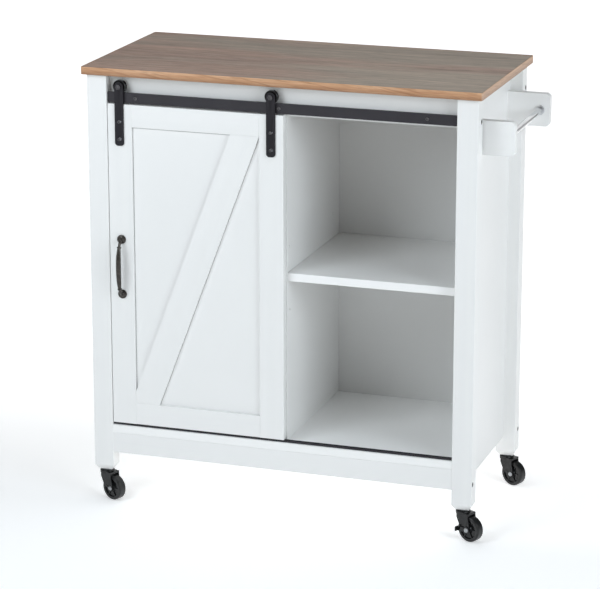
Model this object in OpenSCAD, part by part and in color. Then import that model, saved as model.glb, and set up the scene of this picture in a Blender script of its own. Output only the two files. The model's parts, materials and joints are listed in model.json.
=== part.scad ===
// Rolling kitchen cart with a sliding barn door, an open shelf bay and a towel bar.
// The carcass is laid out from the front left corner of its legs: x to the right,
// y to the back and z up from the floor. Each node is then shifted, so that the
// origin lies on the floor under the middle of the whole cart.

/* [Carcass] */
// Width over the outer faces of the legs
carcass_w = 775; // [740:5:860]
// Depth over the outer faces of the legs
carcass_d = 367; // [340:1:420]
// Length of a leg
leg_h = 800; // [740:5:860]
// Width of a leg, seen from the front
leg_w = 40; // [36:1:48]
// Thickness of a leg, front to back
leg_t = 32; // [31:1:38]
// How far the bevel at the foot of a leg reaches in
foot_bevel_in = 6; // [3:0.5:6]
// How far the bevel at the foot of a leg reaches up
foot_bevel_up = 10; // [5:1:16]
// Thickness of the side panels, the partition and the rails
board_t = 15; // [14:1:18]
// Radius of the eased edges of legs, boards and door frame
ease_r = 1; // [0.5:0.1:1.5]
// Height of the apron's lower edge above the foot of the legs
apron_lift = 39; // [30:1:60]
// Height of the front and back aprons
apron_h = 42; // [34:1:60]
// How far the apron and the floor board stand back from the legs
apron_recess = 1; // [0.5:0.5:3]
// Height of the top rails
header_h = 59; // [55:1:70]
// Thickness of the back panel
back_t = 5; // [3:1:6]
// How deep the back panel sits in the grooves of the legs
back_tuck = 6; // [4:1:10]

/* [Worktop] */
// Thickness of the worktop
top_t = 15; // [14:1:24]
// Overhang of the worktop at the front
top_over_front = 9; // [6:1:14]
// Overhang of the worktop at the back
top_over_back = 13; // [6:1:20]
// Overhang of the worktop at each side
top_over_side = 9; // [5:1:20]
// Corner radius of the worktop
top_corner_r = 4; // [3:1:10]
// Thickness of the edging round the worktop
edging_t = 1.2; // [0.8:0.1:2]

/* [Shelves] */
// Clear width of the cupboard behind the door
cupboard_w = 343; // [320:1:355]
// Thickness of the floor board and the shelves
shelf_t = 16; // [14:1:20]
// Clear height between the floor board and the shelves
lower_bay_h = 321; // [290:1:350]
// How far a shelf stands back from the partition's front edge
shelf_setback = 1; // [0:0.5:10]
// Gap between a shelf and the walls round it
shelf_gap = 0.5; // [0.3:0.1:1]
// Diameter of a shelf pin
pin_d = 5; // [4:0.5:6]
// How deep a shelf pin sits in its wall
pin_hold = 6; // [4:0.5:6]
// How far a shelf pin stands out of its wall
pin_stand = 9; // [6:1:12]
// Height step between the shelf pin holes
pin_pitch = 63; // [32:1:80]
// Distance of the front pins from the partition's front edge
pin_front = 16.5; // [12:0.5:40]
// Distance of the back pins from the back panel
pin_back = 42; // [30:1:60]

/* [Door] */
// Thickness of the door
door_t = 16; // [15:1:20]
// How far the door's face stands back from the legs
door_recess = 2; // [1.5:0.5:4]
// Gap between the door's edges and the legs at the ends of its travel
door_gap = 1; // [0.5:0.5:3]
// Running gap behind the door
door_clear = 2; // [1:0.5:4]
// Width of the door's stiles
stile_w = 49; // [44:1:60]
// Height of the door's top and bottom rails
door_rail_h = 44; // [38:1:60]
// How far the door's panel stands back from its frame
panel_recess = 5; // [3:0.5:6]
// Thickness of the door's panel
panel_t = 5; // [4:0.5:6]
// Length of the tongues and the tuck of the panel in the frame's grooves
tongue = 7; // [5:0.5:10]
// Width of the diagonal brace
brace_w = 54; // [40:1:60]
// Distance of the brace's lower corner from the left stile
brace_foot = 49; // [40:1:60]

/* [Barn door hardware] */
// Height of the track bar
track_h = 20; // [18:1:24]
// Thickness of the track bar
track_t = 4.5; // [3:0.5:5]
// Height of the track bar's top edge below the worktop
track_drop = 33; // [31:1:40]
// Corner radius of the track bar's ends
track_corner_r = 3; // [1:0.5:5]
// Gap between the track bar and the legs
track_end_gap = 0.3; // [0.2:0.1:1]
// Distance of the outer track bolts from the legs
track_bolt_inset = 58; // [40:1:90]
// Diameter of the spacers behind the track bar
spacer_d = 14; // [12:1:18]
// Diameter of a roller over its flanges
roller_d = 26; // [22:1:28]
// Width of a roller
roller_w = 9; // [8:0.5:10]
// Depth of a roller's groove
groove_depth = 2; // [1.5:0.5:3]
// Gap between a roller's groove and the track bar
roll_gap = 0.3; // [0.2:0.1:0.5]
// Width of a hanger strap
strap_w = 18; // [16:1:24]
// Thickness of a hanger strap
strap_t = 3; // [2:0.5:4]
// How far a hanger strap reaches down from the door's top edge
strap_lap = 81; // [60:1:100]
// Distance of the lower strap screw from the strap's end
strap_screw_end = 13; // [10:1:16]
// Distance between the two strap screws
strap_screw_pitch = 34; // [25:1:40]
// Diameter of the roller axles
roller_axle_d = 6; // [5:0.5:8]
// Gap between the door's top edge and the track bar
door_head_gap = 2.5; // [1:0.5:4]
// Gap between the door's bottom edge and the floor guide
door_foot_gap = 2; // [1:0.5:3]
// Height of the floor guide
guide_h = 3.5; // [3:0.5:6]
// Width of the floor guide
guide_w = 9; // [9:0.5:14]
// Diameter of the guide pins under the door
guide_pin_d = 5; // [4:0.5:6]
// How deep a guide pin sits in the door
guide_pin_hold = 14; // [8:1:20]
// Gap between a guide pin and the walls of the floor guide
guide_slack = 0.3; // [0.2:0.1:0.6]
// Thickness of the floor guide's web
guide_web = 1; // [0.8:0.1:1.2]

/* [Door pull] */
// Distance between the pull's screws
pull_pitch = 110; // [96:1:128]
// Height of the pull's middle above the door's bottom edge
pull_rise = 320; // [250:5:400]
// How far the pull stands out from the door
pull_reach = 24; // [20:1:32]
// Diameter of the pull's round feet
pull_foot_d = 18; // [15:1:22]
// Height of the pull's round feet
pull_foot_h = 4; // [3:0.5:5]
// Thickness of the pull's grip at its middle
grip_mid_d = 10; // [8:0.5:12]
// Thickness of the pull's grip beside the beads
grip_end_d = 6.5; // [5:0.5:7]
// Diameter of the beads at the ends of the grip
bead_d = 9; // [7.5:0.5:11]
// Thickness of the necks between the beads and the feet
neck_d = 5.5; // [4.5:0.5:7]

/* [Towel bar] */
// How far the brackets reach past the legs
bracket_reach = 60; // [50:1:80]
// Height of a bracket
bracket_h = 65; // [50:1:80]
// Thickness of a bracket
bracket_t = 15; // [14:1:20]
// Height of the brackets' top below the worktop
bracket_drop = 46; // [40:1:80]
// Radius of the brackets' outer corners
bracket_corner_r = 9; // [4:1:15]
// Gap between a bracket and the leg beside it
bracket_gap = 8; // [2:1:20]
// Diameter of the towel rod
rod_d = 12; // [10:0.5:14]
// Distance of the rod's axis from the brackets' outer end
rod_inset = 19; // [14:1:24]
// Depth of the rod's sockets in the brackets
rod_socket = 8; // [5:1:10]
// Outer diameter of the rod's collars
collar_d = 18; // [16:0.5:22]
// Thickness of the rod's collars
collar_t = 4; // [3:0.5:6]

/* [Casters] */
// Diameter of a caster wheel
wheel_d = 50; // [44:1:60]
// Width of a caster wheel
wheel_w = 18; // [16:1:22]
// Distance between the swivel axis and the wheel's axle
trail = 19; // [17:1:24]
// Direction in which the wheels trail, from the x axis
caster_turn = -24; // [-60:1:60]
// Diameter of the wheel axles
axle_d = 6; // [5:0.5:7]
// Thickness of a fork's cheeks
cheek_t = 2.6; // [2:0.2:3.2]
// Gap between a wheel and the cheeks beside it
cheek_gap = 0.6; // [0.4:0.1:1]
// Thickness of a fork's crown
crown_t = 6.6; // [5:0.2:8]
// Radius of a fork's crown
crown_r = 14.5; // [13:0.5:15]
// How far a fork's brim reaches past the axle
brim_over = 2; // [0:0.5:3]
// How far the top of the brim lies below the top of the crown
brim_step = 2.6; // [1:0.2:3]
// Height of the race ring on the crown
race_h = 1.2; // [0.6:0.2:1.4]
// Gap between a wheel's tread and the crown
crown_clear = 3; // [2:0.5:5]
// Diameter of the collar under a leg
stem_collar_d = 19; // [16:0.5:19]
// Thickness of the collar under a leg
stem_collar_t = 2; // [1.5:0.5:3]
// Diameter of the caster's threaded stem
stem_d = 8; // [6:1:8]
// Length of the caster's threaded stem
stem_l = 22; // [18:1:30]
// Thickness of a brake lever
lever_t = 2; // [1.5:0.5:2.5]
// Reach of a brake lever from the axle
lever_reach = 22; // [18:1:26]
// Width of a brake lever's foot tab
tab_w = 9; // [7:1:12]
// Number of ribs in each face of a wheel
rib_count = 6; // [4:1:8]
// Thickness of a wheel's ribs
rib_t = 2.2; // [1.6:0.2:3]

/* [Fasteners] */
// Diameter of the frame screws
frame_screw_d = 6; // [5:0.5:7]
// Diameter of the frame screws' heads
frame_head_d = 10; // [9:0.5:11]
// Height of the frame screws' heads
frame_head_h = 3.5; // [3:0.5:5]
// Length of a frame screw in its rail
frame_screw_bite = 32; // [20:1:40]
// Distance of the frame screws from the rails' lower edges
frame_screw_rise = 13; // [10:1:20]
// Diameter of the wooden dowels
dowel_d = 8; // [6:1:8]
// Length of the wooden dowels
dowel_l = 28; // [24:1:36]
// Diameter of the small screws
small_screw_d = 4; // [3:0.5:5]
// Length of a bracket screw in its bracket
bracket_screw_bite = 28; // [16:1:32]
// Width of the hexagon sockets in the screws
socket_d = 3.4; // [2.5:0.1:3.6]

/* [Hidden] */
$fn = 48;

// Radial gap round a turning shaft, and round a screw, pin or dowel in its hole
run = 0.05;
snug = 0.1;
// Spare depth at the bottom of a blind hole
spare = 0.5;
// A cut starts this far outside the face it opens
over = 1;
// Gap between a caster's collar and the fork's crown
swivel_gap = 0.4;
// Sides of a hexagon head or socket
hex = 6;

// Heights
axle_drop = stem_collar_t + swivel_gap + crown_t + crown_clear + wheel_d / 2;
leg_z = axle_drop + wheel_d / 2;
leg_top = leg_z + leg_h;
apron_z = leg_z + apron_lift;
floor_z = apron_z + apron_h;
floor_top = floor_z + shelf_t;
header_z = leg_top - header_h;
shelf_z = floor_top + lower_bay_h;
track_top = leg_top - track_drop;
track_z = track_top - track_h;
door_top = track_z - door_head_gap;
door_z = floor_top + guide_h + door_foot_gap;
bracket_z = leg_top - bracket_drop - bracket_h;

// Places across the cart
inner_left = leg_w;
inner_right = carcass_w - leg_w;
partition_x = inner_left + cupboard_w;
bay_x = partition_x + board_t;
door_x = inner_left + door_gap;
door_w = cupboard_w + board_t - 2 * door_gap;
strap_xs = [door_x + stile_w / 2, door_x + door_w - stile_w / 2];
side_face_right = inner_right + board_t;
bracket_end = carcass_w + bracket_reach;

// Places from front to back
door_back = door_recess + door_t;
front_line = door_back + door_clear;
back_y = carcass_d - board_t - back_t;
strap_y = door_recess - strap_t;
washer_t = 0.6;
side_play = 0.15;
roller_y = door_recess + washer_t + side_play;
track_y = roller_y + (roller_w - track_t) / 2;
guide_y = door_recess + (door_t - guide_w) / 2;
pin_ys = [front_line + pin_front, back_y - pin_back];

// The middle of the whole cart's box
centre_x = (bracket_end - top_over_side) / 2;
centre_y = (carcass_d + top_over_back + door_recess - pull_reach) / 2;

// Rolling hardware
roller_r = roller_d / 2;
root_r = roller_r - groove_depth;
roller_z = track_top + root_r + roll_gap;
groove_slack = 0.4;
axle_head_h = 3;
axle_head_d = 11;
washer_d = 10;
strap_end_r = 6;
strap_head_d = 9;
strap_head_ease = 1.5;
track_bolt_d = 5;
track_head_d = 9;
track_head_h = 1.6;
track_head_ease = 1;
track_bolt_xs = [inner_left + track_bolt_inset, carcass_w / 2, inner_right - track_bolt_inset];
track_bolt_bite = 12;
guide_groove = guide_pin_d + 2 * guide_slack;

// Casters: where they stand, and on which the brakes sit
caster_xs = [leg_w / 2, carcass_w - leg_w / 2];
caster_ys = [leg_t / 2, carcass_d - leg_t / 2];
fork_w = wheel_w + 2 * (cheek_gap + cheek_t);
kingpin_d = 6;
kingpin_head_d = 10;
kingpin_head_h = 1.4;
insert_d = 11;
insert_l = stem_l;
axle_head_t = 1.5;
axle_cap_d = 9;
axle_cap_ease = 1;
boss_r = 6.5;

paint = [0.91, 0.92, 0.93];
oak_grey = [0.52, 0.45, 0.38];
oak_warm = [0.76, 0.53, 0.33];
black = [0.15, 0.14, 0.15];
bright = [0.78, 0.79, 0.8];
beech = [0.8, 0.66, 0.46];

// Shared shapes
module in_place() {
    translate([-centre_x, -centre_y, 0]) children();
}

module slab(from, to) {
    translate(from) cube(to - from);
}

// A rectangle with round corners
module eased_rect(size, r) {
    translate([r, 0]) square([size[0] - 2 * r, size[1]]);
    translate([0, r]) square([size[0], size[1] - 2 * r]);
    for (x = [r, size[0] - r], y = [r, size[1] - r]) translate([x, y]) circle(r);
}

// A board whose edges along one axis are eased
module board_x(from, to) {
    size = to - from;
    translate(from) rotate([90, 0, 90]) linear_extrude(size[0]) eased_rect([size[1], size[2]], ease_r);
}

module board_y(from, to) {
    size = to - from;
    translate([from[0], to[1], from[2]]) rotate([90, 0, 0])
        linear_extrude(size[1]) eased_rect([size[0], size[2]], ease_r);
}

module board_z(from, to) {
    size = to - from;
    translate(from) linear_extrude(size[2]) eased_rect([size[0], size[1]], ease_r);
}

// Round bars that start at a point and run along an axis
module bar_x(start, d, l) {
    translate(start) rotate([0, 90, 0]) cylinder(d = d, h = l);
}

module bar_y(start, d, l) {
    translate(start) rotate([-90, 0, 0]) cylinder(d = d, h = l);
}

module bar_z(start, d, l) {
    translate(start) cylinder(d = d, h = l);
}

// A countersunk screw that points up, with its head's face at the start
module flat_screw(d, l) {
    head_h = d / 2;
    cylinder(r1 = d, r2 = d / 2, h = head_h);
    cylinder(d = d, h = l);
}

module flat_screw_hole(d, l) {
    head_h = d / 2 + snug;
    translate([0, 0, -over]) cylinder(r = d + snug, h = over);
    cylinder(r1 = d + snug, r2 = d / 2 + snug, h = head_h);
    cylinder(r = d / 2 + snug, h = l + spare);
}

// Legs, and the dowels that join them to the side panels and stop short of the back panel's groove
leg_dowel_shares = [0.15, 0.5, 0.8];
leg_dowel_zs = [for (share = leg_dowel_shares) leg_z + share * leg_h];
side_mid = board_t / 2;
dowel_wall = 2;
leg_dowel_hold = leg_t - board_t - back_t - dowel_wall;

// A dowel, or with spare room its hole, across the joint of a side panel and a leg
module side_dowel(side, end, z, gap, room) {
    x = side == 0 ? inner_left - side_mid : inner_right + side_mid;
    y = end == 0 ? leg_t - leg_dowel_hold : carcass_d - leg_t + leg_dowel_hold - dowel_l;
    bar_y([x, y - room, z], dowel_d + 2 * gap, dowel_l + 2 * room);
}

// Four wedges that bevel the foot of a post of the given size
module foot_wedges(size) {
    slope = [
        [-over, -over], [foot_bevel_in, -over], [foot_bevel_in, 0],
        [0, foot_bevel_up], [-over, foot_bevel_up]
    ];
    for (side = [0, 1]) {
        translate([side * size[0], 0, 0]) mirror([side, 0, 0])
            translate([0, size[1] + over, 0]) rotate([90, 0, 0])
                linear_extrude(size[1] + 2 * over) polygon(slope);
        translate([0, side * size[1], 0]) mirror([0, side, 0])
            translate([-over, 0, 0]) rotate([90, 0, 90])
                linear_extrude(size[0] + 2 * over) polygon(slope);
    }
}

// side is 0 for the left legs and 1 for the right ones; end is 0 for the front and 1 for the back
module leg(side, end) {
    x = side * (carcass_w - leg_w);
    y = end * (carcass_d - leg_t);
    inner_x = side == 0 ? inner_left : inner_right;
    color(paint) difference() {
        board_z([x, y, leg_z], [x + leg_w, y + leg_t, leg_top]);
        translate([x, y, leg_z]) foot_wedges([leg_w, leg_t]);
        bar_z([caster_xs[side], caster_ys[end], leg_z - over], insert_d + 2 * snug, insert_l + over + spare);
        bar_z([x + leg_w / 2, y + leg_t / 2, leg_top - dowel_l / 2 - spare], dowel_d + 2 * snug, dowel_l);
        frame_screw_cuts(side, end);
        for (z = leg_dowel_zs) side_dowel(side, end, z, snug, spare);
        if (end == 1)
            slab([inner_x - back_tuck, back_y, floor_z],
                [inner_x + back_tuck, back_y + back_t, leg_top + over]);
    }
}

module leg_front_left() { in_place() leg(0, 0); }
module leg_front_right() { in_place() leg(1, 0); }
module leg_back_left() { in_place() leg(0, 1); }
module leg_back_right() { in_place() leg(1, 1); }

// Frame screws: one through each leg into each rail that ends on it
frame_head_wall = 1.2;
frame_front_y = leg_t - frame_head_d / 2 - frame_head_wall;
frame_low_y = apron_recess + side_mid;
frame_back_y = carcass_d - side_mid;
frame_z_low = apron_z + frame_screw_rise;
frame_z_high = header_z + frame_screw_rise;

function frame_points(end) = end == 0
    ? [[frame_low_y, frame_z_low], [frame_front_y, frame_z_high]]
    : [[frame_back_y, frame_z_low], [frame_back_y, frame_z_high]];

// Puts its children at a leg's outer face, with z pointing into the leg
module at_frame_screws(side, end) {
    for (p = frame_points(end))
        translate([side * carcass_w, p[0], p[1]]) rotate([0, side == 0 ? 90 : -90, 0]) children();
}

module frame_screw_cuts(side, end) {
    at_frame_screws(side, end) {
        translate([0, 0, -over]) cylinder(d = frame_head_d + 2 * snug, h = frame_head_h + over);
        cylinder(d = frame_screw_d + 2 * snug, h = leg_w + frame_screw_bite + spare);
    }
}

module frame_screws() {
    in_place() color(black) for (side = [0, 1], end = [0, 1]) at_frame_screws(side, end) {
        difference() {
            translate([0, 0, spare]) cylinder(d = frame_head_d, h = frame_head_h - spare);
            translate([0, 0, -over]) cylinder(d = frame_head_d / 2, h = over + frame_head_h / 2, $fn = hex);
        }
        translate([0, 0, frame_head_h])
            cylinder(d = frame_screw_d, h = leg_w + frame_screw_bite - frame_head_h);
    }
}

// The dowels in the leg tops stop short of the worktop's face
top_dowel_cover = 5;
top_dowel_hold = top_t - top_dowel_cover;

module wood_dowels() {
    in_place() color(beech) for (side = [0, 1], end = [0, 1]) {
        x = caster_xs[side];
        y = caster_ys[end];
        bar_z([x, y, leg_top - dowel_l / 2], dowel_d, dowel_l / 2 + top_dowel_hold);
        for (z = leg_dowel_zs) side_dowel(side, end, z, 0, 0);
    }
}

// Carcass boards
module pin_holes(x, dir) {
    for (y = pin_ys, step = [-1, 0, 1])
        translate([x, y, shelf_z + pin_d / 2 + spare + step * pin_pitch])
            rotate([0, 90 * dir, 0]) translate([0, 0, -over])
                cylinder(d = pin_d + 2 * snug, h = over + pin_hold + spare);
}

module side_panel(side) {
    x = side == 0 ? inner_left - board_t : inner_right;
    color(paint) difference() {
        slab([x, leg_t, apron_z], [x + board_t, carcass_d - leg_t, leg_top]);
        for (end = [0, 1], z = leg_dowel_zs) side_dowel(side, end, z, snug, spare);
        if (side == 0) pin_holes(inner_left, -1);
        if (side == 1) {
            pin_holes(inner_right, 1);
            at_bracket_screws() flat_screw_hole(small_screw_d, board_t);
        }
    }
}

module side_panel_left() { in_place() side_panel(0); }
module side_panel_right() { in_place() side_panel(1); }

module back_panel() {
    in_place() color(paint)
        slab([inner_left - back_tuck, back_y, floor_z], [inner_right + back_tuck, back_y + back_t, leg_top]);
}

module floor_board() {
    in_place() color(paint)
        board_x([inner_left, apron_recess, floor_z], [inner_right, back_y, floor_top]);
}

module partition() {
    in_place() color(paint) difference() {
        board_z([partition_x, front_line, floor_top], [bay_x, back_y, leg_top]);
        slab([partition_x - over, front_line - over, header_z],
            [bay_x + over, front_line + board_t, leg_top + over]);
        pin_holes(partition_x, 1);
        pin_holes(bay_x, -1);
    }
}

module rail(y, z, h) {
    color(paint) difference() {
        board_x([inner_left, y, z], [inner_right, y + board_t, z + h]);
        for (side = [0, 1], end = [0, 1]) frame_screw_cuts(side, end);
        if (y == front_line) track_bolt_holes();
    }
}

module header_rail() { in_place() rail(front_line, header_z, header_h); }
module back_top_rail() { in_place() rail(carcass_d - board_t, header_z, header_h); }
module front_apron() { in_place() rail(apron_recess, apron_z, apron_h); }
module back_apron() { in_place() rail(carcass_d - board_t, apron_z, apron_h); }

// Worktop, with its edging as a separate strip round it
module top_outline(inset) {
    translate([inset - top_over_side, inset - top_over_front])
        eased_rect([carcass_w + 2 * (top_over_side - inset),
            carcass_d + top_over_front + top_over_back - 2 * inset], top_corner_r - inset);
}

module worktop() {
    in_place() color(oak_grey) difference() {
        translate([0, 0, leg_top]) linear_extrude(top_t) top_outline(edging_t);
        for (x = caster_xs, y = caster_ys)
            bar_z([x, y, leg_top - over], dowel_d + 2 * snug, over + top_dowel_hold + spare);
    }
}

module worktop_edging() {
    in_place() color(oak_warm) translate([0, 0, leg_top]) linear_extrude(top_t) difference() {
        top_outline(0);
        top_outline(edging_t);
    }
}

// Shelves rest on pins that sit in slots in their undersides
module shelf(x0, x1) {
    slot_l = pin_stand + spare;
    color(paint) difference() {
        board_x([x0 + shelf_gap, front_line + shelf_setback, shelf_z],
            [x1 - shelf_gap, back_y - shelf_gap, shelf_z + shelf_t]);
        for (y = pin_ys, x = [x0, x1]) {
            bar_x([x - slot_l, y, shelf_z + pin_d / 2 + spare], pin_d + 2 * snug, 2 * slot_l);
            slab([x - slot_l, y - pin_d / 2 - snug, shelf_z - over],
                [x + slot_l, y + pin_d / 2 + snug, shelf_z + pin_d / 2 + spare]);
        }
    }
}

module open_shelf() { in_place() shelf(bay_x, inner_right); }
module cupboard_shelf() { in_place() shelf(inner_left, partition_x); }

module shelf_pins() {
    in_place() color(bright) for (y = pin_ys, wall = [
        [inner_left, 1], [partition_x, -1], [bay_x, 1], [inner_right, -1]])
        translate([wall[0], y, shelf_z + pin_d / 2 + spare]) rotate([0, 90 * wall[1], 0])
            translate([0, 0, -pin_hold]) cylinder(d = pin_d, h = pin_hold + pin_stand);
}

// Barn door hardware: a flat bar on spacers, with a bolt through each spacer
module track_bolt_holes() {
    for (x = track_bolt_xs)
        bar_y([x, track_y - over, track_z + track_h / 2], track_bolt_d + 2 * snug,
            front_line - track_y + track_bolt_bite + over + spare);
}

module door_track() {
    x0 = inner_left + track_end_gap;
    length = inner_right - inner_left - 2 * track_end_gap;
    in_place() color(black) difference() {
        translate([x0, track_y + track_t, track_z]) rotate([90, 0, 0])
            linear_extrude(track_t) eased_rect([length, track_h], track_corner_r);
        track_bolt_holes();
    }
}

module track_spacers() {
    y = track_y + track_t;
    in_place() color(black) difference() {
        for (x = track_bolt_xs) bar_y([x, y, track_z + track_h / 2], spacer_d, front_line - y);
        track_bolt_holes();
    }
}

// A button head bolt that points down, with its head's underside at z = 0
module track_bolt() {
    head_r = track_head_d / 2;
    shank_l = front_line - track_y + track_bolt_bite;
    difference() {
        cylinder(r1 = head_r, r2 = head_r - track_head_ease, h = track_head_h);
        translate([0, 0, track_head_h / 3]) cylinder(d = socket_d, h = track_head_h, $fn = hex);
    }
    translate([0, 0, -shank_l]) cylinder(d = track_bolt_d, h = shank_l);
}

module track_bolts() {
    in_place() color(black) for (x = track_bolt_xs)
        translate([x, track_y, track_z + track_h / 2]) rotate([90, 0, 0]) track_bolt();
}

module floor_guide() {
    in_place() color(black) difference() {
        slab([inner_left, guide_y, floor_top], [inner_right, guide_y + guide_w, floor_top + guide_h]);
        slab([inner_left - over, guide_y + (guide_w - guide_groove) / 2, floor_top + guide_web],
            [inner_right + over, guide_y + (guide_w + guide_groove) / 2, floor_top + guide_h + over]);
    }
}

module guide_pins() {
    bottom = floor_top + guide_web + spare;
    in_place() color(black) for (x = strap_xs)
        bar_z([x, door_recess + door_t / 2, bottom], guide_pin_d, door_z + guide_pin_hold - bottom);
}

// Door frame: full height stiles, rails with tongues, a panel in the grooves
tongue_y = door_recess + panel_recess;
open_x0 = door_x + stile_w;
open_x1 = door_x + door_w - stile_w;
open_z0 = door_z + door_rail_h;
open_z1 = door_top - door_rail_h;
groove_room = 1;
strap_screw_cover = 4;
strap_screw_bite = door_t - strap_screw_cover;

module strap_screw_cuts() {
    for (x = strap_xs) at_strap_screws(x) translate([0, 0, -over])
        cylinder(r = small_screw_d / 2 + snug, h = over + strap_t + strap_screw_bite + spare);
}

module stile(x, side) {
    inner = side == 0 ? x + stile_w : x;
    color(paint) difference() {
        board_z([x, door_recess, door_z], [x + stile_w, door_back, door_top]);
        slab([inner - tongue - groove_room, tongue_y, door_z - over],
            [inner + tongue + groove_room, tongue_y + panel_t, door_top + over]);
        strap_screw_cuts();
        for (pin_x = strap_xs)
            bar_z([pin_x, door_recess + door_t / 2, door_z - over], guide_pin_d + 2 * snug,
                over + guide_pin_hold + spare);
        if (side == 0) at_pull_screws() flat_screw_hole(small_screw_d, door_t);
    }
}

module door_stile_left() { in_place() stile(door_x, 0); }
module door_stile_right() { in_place() stile(door_x + door_w - stile_w, 1); }

// from and to are the rail's lower and upper edge; inner is the edge that holds the panel
module door_rail(from, to, inner) {
    color(paint) difference() {
        union() {
            board_x([open_x0, door_recess, from], [open_x1, door_back, to]);
            slab([open_x0 - tongue, tongue_y, from], [open_x1 + tongue, tongue_y + panel_t, to]);
        }
        slab([open_x0 - tongue - over, tongue_y, inner - tongue - groove_room],
            [open_x1 + tongue + over, tongue_y + panel_t, inner + tongue + groove_room]);
    }
}

module door_top_rail() { in_place() door_rail(open_z1, door_top, open_z1); }
module door_bottom_rail() { in_place() door_rail(door_z, open_z0, open_z0); }

module door_panel() {
    in_place() color(paint)
        slab([open_x0 - tongue, tongue_y, open_z0 - tongue],
            [open_x1 + tongue, tongue_y + panel_t, open_z1 + tongue]);
}

// The brace runs from the top right corner of the opening to brace_foot on the bottom rail
module door_brace() {
    run_x = open_x1 - open_x0 - brace_foot;
    run_z = open_z1 - open_z0;
    lean = atan2(run_x, run_z);
    past_end = 2 * brace_w;
    in_place() color(paint) intersection() {
        slab([open_x0, door_recess, open_z0], [open_x1, door_recess + panel_recess, open_z1]);
        translate([open_x0 + brace_foot, door_recess, open_z0]) rotate([0, lean, 0])
            translate([-brace_w, -ease_r, -past_end])
                board_z([0, 0, 0], [brace_w, panel_recess + 3 * ease_r, run_z + run_x + 2 * past_end]);
    }
}

// Hanger straps: round over the roller's axle, eased at the lower end
strap_z = door_top - strap_lap;

module at_strap_screws(x) {
    for (z = [strap_z + strap_screw_end, strap_z + strap_screw_end + strap_screw_pitch])
        translate([x, strap_y, z]) rotate([-90, 0, 0]) children();
}

module hanger_strap(x) {
    color(black) difference() {
        translate([x, door_recess, 0]) rotate([90, 0, 0]) linear_extrude(strap_t) {
            translate([-strap_w / 2, strap_z]) eased_rect([strap_w, roller_z - strap_z], strap_end_r);
            translate([-strap_w / 2, strap_z + strap_w]) square([strap_w, roller_z - strap_z - strap_w]);
            translate([0, roller_z]) circle(d = strap_w);
        }
        at_strap_screws(x) translate([0, 0, -over])
            cylinder(r = small_screw_d / 2 + snug, h = strap_t + 2 * over);
        bar_y([x, strap_y - over, roller_z], roller_axle_d + 2 * snug, strap_t + 2 * over);
    }
}

module hanger_strap_left() { in_place() hanger_strap(strap_xs[0]); }
module hanger_strap_right() { in_place() hanger_strap(strap_xs[1]); }

module strap_screws() {
    head_h = small_screw_d / 2;
    head_r = strap_head_d / 2;
    in_place() color(black) for (x = strap_xs) at_strap_screws(x) {
        translate([0, 0, -head_h]) difference() {
            cylinder(r1 = head_r - strap_head_ease, r2 = head_r, h = head_h);
            translate([0, 0, -over]) cylinder(d = socket_d, h = over + head_h / 2, $fn = hex);
        }
        cylinder(d = small_screw_d, h = strap_t + strap_screw_bite);
    }
}

// A hexagon head or nut; way is 1 where it points to the back and -1 to the front
module hexagon(start, way) {
    translate(start) rotate([-90 * way, 0, 0]) cylinder(d = axle_head_d, h = axle_head_h, $fn = hex);
}

// A shoulder bolt with a hexagon head, two washers and a nut
module roller_axle(x) {
    back = roller_y + roller_w + side_play;
    bar_y([x, strap_y, roller_z], roller_axle_d, back + washer_t + axle_head_h - strap_y);
    bar_y([x, door_recess, roller_z], washer_d, washer_t);
    bar_y([x, back, roller_z], washer_d, washer_t);
    hexagon([x, strap_y, roller_z], -1);
    hexagon([x, back + washer_t, roller_z], 1);
}

module roller_axles() { in_place() color(black) for (x = strap_xs) roller_axle(x); }

// A grooved roller: its groove is a little wider than the track bar
module roller(x) {
    half = roller_w / 2;
    root = track_t / 2 + groove_slack;
    bore = roller_axle_d / 2 + run;
    hub_wall = 3;
    hub = bore + hub_wall;
    dish = 1;
    ease = 0.5;
    flare = 0.6;
    in_place() color(black) translate([x, roller_y + half, roller_z]) rotate([90, 0, 0]) rotate_extrude()
        polygon([[bore, -half], [hub, -half], [hub + dish, dish - half], [root_r - dish, dish - half],
            [root_r, -half], [roller_r - ease, -half], [roller_r, ease - half], [roller_r, -root - flare],
            [root_r, -root], [root_r, root], [roller_r, root + flare], [roller_r, half - ease],
            [roller_r - ease, half], [root_r, half], [root_r - dish, half - dish], [hub + dish, half - dish],
            [hub, half], [bore, half]]);
}

module roller_left() { roller(strap_xs[0]); }
module roller_right() { roller(strap_xs[1]); }

// Door pull: a bow with round feet, thin necks, a bead at each end of the grip and a swelling grip
pull_x = strap_xs[0];
pull_z = door_z + pull_rise;
bow_out = pull_reach - grip_mid_d / 2;
bow_power = 0.8;
bow_sides = 16;
bow_step = 0.5;
neck_shoulder = 1;
foot_a = 90;
bead_a = 45;
bead_half_a = 2.6;
grip_a = bead_a - bead_half_a;

// The middle line at an angle from one foot to the other, and the way it runs there
function bow_spot(a) = [
    -bow_out * pow(abs(cos(a)), bow_power),
    pull_pitch / 2 * sign(a) * pow(abs(sin(a)), bow_power)
];
function bow_way(a) =
    let (d = bow_spot(min(a + bow_step, foot_a)) - bow_spot(max(a - bow_step, -foot_a))) d / norm(d);
function grip_thick(a) = grip_end_d + (grip_mid_d - grip_end_d) * (1 - pow(a / grip_a, 2));
function bead_thick(share, base) = base + (bead_d - base) * sqrt(1 - share * share);

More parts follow.
